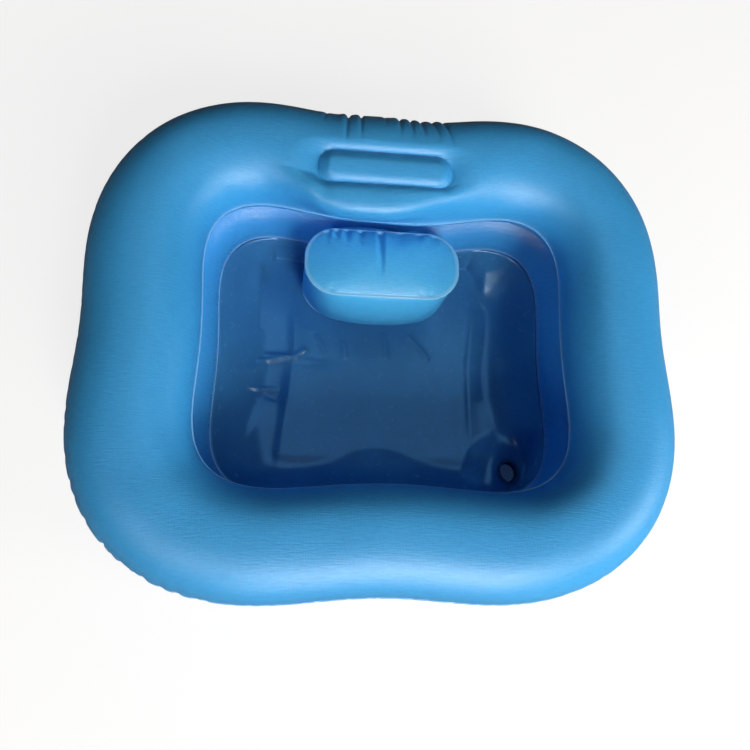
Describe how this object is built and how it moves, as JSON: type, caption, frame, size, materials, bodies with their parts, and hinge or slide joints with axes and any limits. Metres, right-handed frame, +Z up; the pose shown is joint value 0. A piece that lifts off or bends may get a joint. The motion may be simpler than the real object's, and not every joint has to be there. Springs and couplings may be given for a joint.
{
  "type": "portable shampoo basin",
  "caption": "Inflatable hair-washing basin: two stacked air rings round a slack drained floor, a neck rest welded in the rim and a raised head pillow.",
  "frame": {"origin": "middle of the bounding box, on the surface the basin stands on", "axes": "+X across the basin to the drain side, +Y from the user end to the neck rest, +Z up"},
  "size_m": [0.631, 0.5484, 0.2073],
  "materials": {
    "rim_film": "embossed soft vinyl film, blue",
    "wall_film": "soft vinyl film, blue",
    "floor_film": "smooth glossy vinyl film, dark blue",
    "fitting": "moulded dark fitting",
    "stopper": "matt grey rubber",
    "valve_vinyl": "clear-edged soft moulded vinyl"
  },
  "bodies": {
    "basin": {"upper_ring_top_sheet": "rim_film", "upper_ring_bottom_sheet": "wall_film", "lower_ring_top_sheet": "wall_film", "lower_ring_bottom_sheet": "wall_film", "neck_rest_baffle": "wall_film", "floor_sheet": "floor_film", "pillow_base_panel": "wall_film", "pillow_side_band": "wall_film", "pillow_top_panel": "rim_film", "drain_ring": "fitting", "drain_outlet": "fitting", "upper_ring_valve_base": "valve_vinyl", "lower_ring_valve_base": "valve_vinyl", "pillow_valve_base": "valve_vinyl"},
    "stopper": {"drain_stopper": "stopper"},
    "upper_ring_stem": {"upper_ring_valve_stem": "valve_vinyl"},
    "upper_ring_cap": {"upper_ring_valve_cap": "valve_vinyl"},
    "upper_ring_flap": {"upper_ring_valve_flap": "valve_vinyl"},
    "lower_ring_stem": {"lower_ring_valve_stem": "valve_vinyl"},
    "lower_ring_cap": {"lower_ring_valve_cap": "valve_vinyl"},
    "lower_ring_flap": {"lower_ring_valve_flap": "valve_vinyl"},
    "pillow_stem": {"pillow_valve_stem": "valve_vinyl"},
    "pillow_cap": {"pillow_valve_cap": "valve_vinyl"},
    "pillow_flap": {"pillow_valve_flap": "valve_vinyl"}
  },
  "joints": [
    {"name": "upper_ring_stem_push", "type": "slide", "parent": "basin", "child": "upper_ring_stem", "axis": [-0.8734, -0.0155, 0.4868], "range_m": [0, 0.0045]},
    {"name": "upper_ring_cap_swing", "type": "hinge", "parent": "upper_ring_stem", "child": "upper_ring_cap", "pos_m": [0.3013, -0.06995, 0.12204], "axis": [0.4868, 0, 0.8735], "range_deg": [0, 150]},
    {"name": "upper_ring_flap_swing", "type": "hinge", "parent": "upper_ring_stem", "child": "upper_ring_flap", "pos_m": [0.28085, -0.07531, 0.13344], "axis": [-0.4868, 0, -0.8735], "range_deg": [0, 55], "stiffness_Nm_per_rad": 0.00002, "springref_deg": -28.65},
    {"name": "lower_ring_stem_push", "type": "slide", "parent": "basin", "child": "lower_ring_stem", "axis": [-0.9025, 0.0524, -0.4275], "range_m": [0, 0.0045]},
    {"name": "lower_ring_cap_swing", "type": "hinge", "parent": "lower_ring_stem", "child": "lower_ring_cap", "pos_m": [0.31329, 0.05259, 0.07918], "axis": [-0.4281, 0, 0.9037], "range_deg": [0, 150]},
    {"name": "lower_ring_flap_swing", "type": "hinge", "parent": "lower_ring_stem", "child": "lower_ring_flap", "pos_m": [0.29184, 0.04883, 0.06902], "axis": [0.4281, 0, -0.9037], "range_deg": [0, 55], "stiffness_Nm_per_rad": 0.00002, "springref_deg": -28.65},
    {"name": "pillow_stem_push", "type": "slide", "parent": "basin", "child": "pillow_stem", "axis": [0, -1, 0], "range_m": [0, 0.0045]},
    {"name": "pillow_cap_swing", "type": "hinge", "parent": "pillow_stem", "child": "pillow_cap", "pos_m": [0.02642, 0.1473, 0.09896], "axis": [0, 0, -1], "range_deg": [0, 150]},
    {"name": "pillow_flap_swing", "type": "hinge", "parent": "pillow_stem", "child": "pillow_flap", "pos_m": [0.02142, 0.1238, 0.09896], "axis": [0, 0, 1], "range_deg": [0, 55], "stiffness_Nm_per_rad": 0.00002, "springref_deg": -28.65},
    {"name": "stopper_pull", "type": "slide", "parent": "basin", "child": "stopper", "axis": [0.2855, 0.1142, 0.9516], "range_m": [0, 0.012]}
  ]
}
